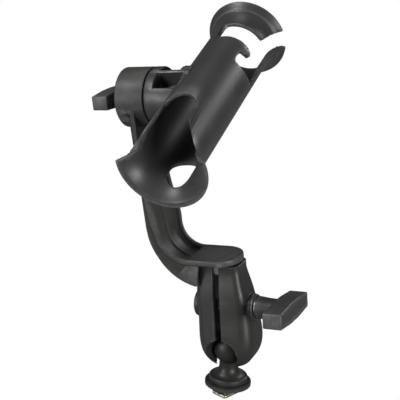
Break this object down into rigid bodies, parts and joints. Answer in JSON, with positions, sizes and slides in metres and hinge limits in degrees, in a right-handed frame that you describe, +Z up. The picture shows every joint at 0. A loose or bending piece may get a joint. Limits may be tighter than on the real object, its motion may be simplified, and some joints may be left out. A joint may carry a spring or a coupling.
{
  "type": "rod holder",
  "caption": "Fishing rod tube with a scooped front and hooked collar, tilting on a curved arm that clamps to a ball bolted into a track.",
  "frame": {"origin": "centre of the base washer's underside, where it meets the track", "axes": "+Z up out of the track along the ball's post; +X from the tilt hub towards the clamp knob; the tube rises towards +Y"},
  "size_m": [0.2383, 0.2593, 0.4433],
  "materials": {
    "bright_brass": "polished",
    "insert_brass": "machined",
    "base_rubber": "matt",
    "ball_composite": "fine satin",
    "jaw_composite": "smooth satin",
    "arm_composite": "fine grained",
    "tube_composite": "satin",
    "knob_composite": "satin",
    "ring_plastic": "satin",
    "ring_steel": "blackened",
    "bolt_steel": "turned",
    "pin_steel": "ground",
    "spring_steel": "drawn wire"
  },
  "bodies": {
    "track_mount": {"t_bolt_plate": "bright_brass", "t_bolt_stud": "bright_brass", "base_washer": "base_rubber"},
    "ball_mount": {"ball_stud": "ball_composite", "ball_stud_insert": "insert_brass"},
    "arm_frame": {"fixed_jaw": "jaw_composite", "jaw_dowels": "pin_steel", "jaw_pivot_pin": "pin_steel", "arm": "arm_composite", "clamp_bolt": "bolt_steel", "clamp_spring": "spring_steel", "hub_spring": "spring_steel"},
    "jaw": {"moving_jaw": "jaw_composite"},
    "clamp_rings": {"clamp_thrust_ring": "ring_plastic", "clamp_steel_ring": "ring_steel"},
    "clamp_handle": {"clamp_knob": "knob_composite", "clamp_knob_insert": "insert_brass"},
    "hub_ring": {"hub_steel_ring": "ring_steel"},
    "hub_handle": {"hub_knob": "knob_composite", "hub_knob_insert": "insert_brass"},
    "tube": {"rod_tube": "tube_composite", "hub_bolt": "bolt_steel"}
  },
  "joints": [
    {"name": "ball_stud_turn", "type": "hinge", "parent": "track_mount", "child": "ball_mount", "pos_m": [0, 0, 0.0114], "axis": [0, 0, 1], "continuous": true},
    {"name": "ball_lean", "type": "hinge", "parent": "ball_mount", "child": "arm_frame", "pos_m": [0, 0, 0.0453], "axis": [0.5388, -0.8425, 0], "range_deg": [-23.3, 6.7]},
    {"name": "jaw_open", "type": "hinge", "parent": "arm_frame", "child": "jaw", "pos_m": [-0.01365, -0.00777, 0.14407], "axis": [0.0048, -0.997, -0.0778], "range_deg": [0, 2.4]},
    {"name": "clamp_rings_out", "type": "slide", "parent": "arm_frame", "child": "clamp_rings", "axis": [0.9926, -0.0048, 0.1216], "range_m": [0, 0.00251]},
    {"name": "clamp_knob_turn", "type": "hinge", "parent": "clamp_rings", "child": "clamp_handle", "pos_m": [0.05501, -0.00447, 0.10598], "axis": [0.9926, -0.0048, 0.1216], "range_deg": [0, 720]},
    {"name": "hub_ring_out", "type": "slide", "parent": "arm_frame", "child": "hub_ring", "axis": [-0.9926, 0.0048, -0.1216], "range_m": [0, 0.00251]},
    {"name": "hub_knob_turn", "type": "hinge", "parent": "hub_ring", "child": "hub_handle", "pos_m": [-0.13711, -0.02245, 0.32471], "axis": [-0.9926, 0.0048, -0.1216], "range_deg": [0, 720]},
    {"name": "tube_tilt", "type": "hinge", "parent": "arm_frame", "child": "tube", "pos_m": [-0.09254, -0.02266, 0.33017], "axis": [0.9926, -0.0048, 0.1216], "continuous": true}
  ],
  "couplings": [
    {"joint": "clamp_rings_out", "follows": "clamp_knob_turn", "m_per_rad": 0.00019894},
    {"joint": "jaw_open", "follows": "clamp_knob_turn", "ratio": 0.0032614},
    {"joint": "hub_ring_out", "follows": "hub_knob_turn", "m_per_rad": 0.00019894}
  ]
}
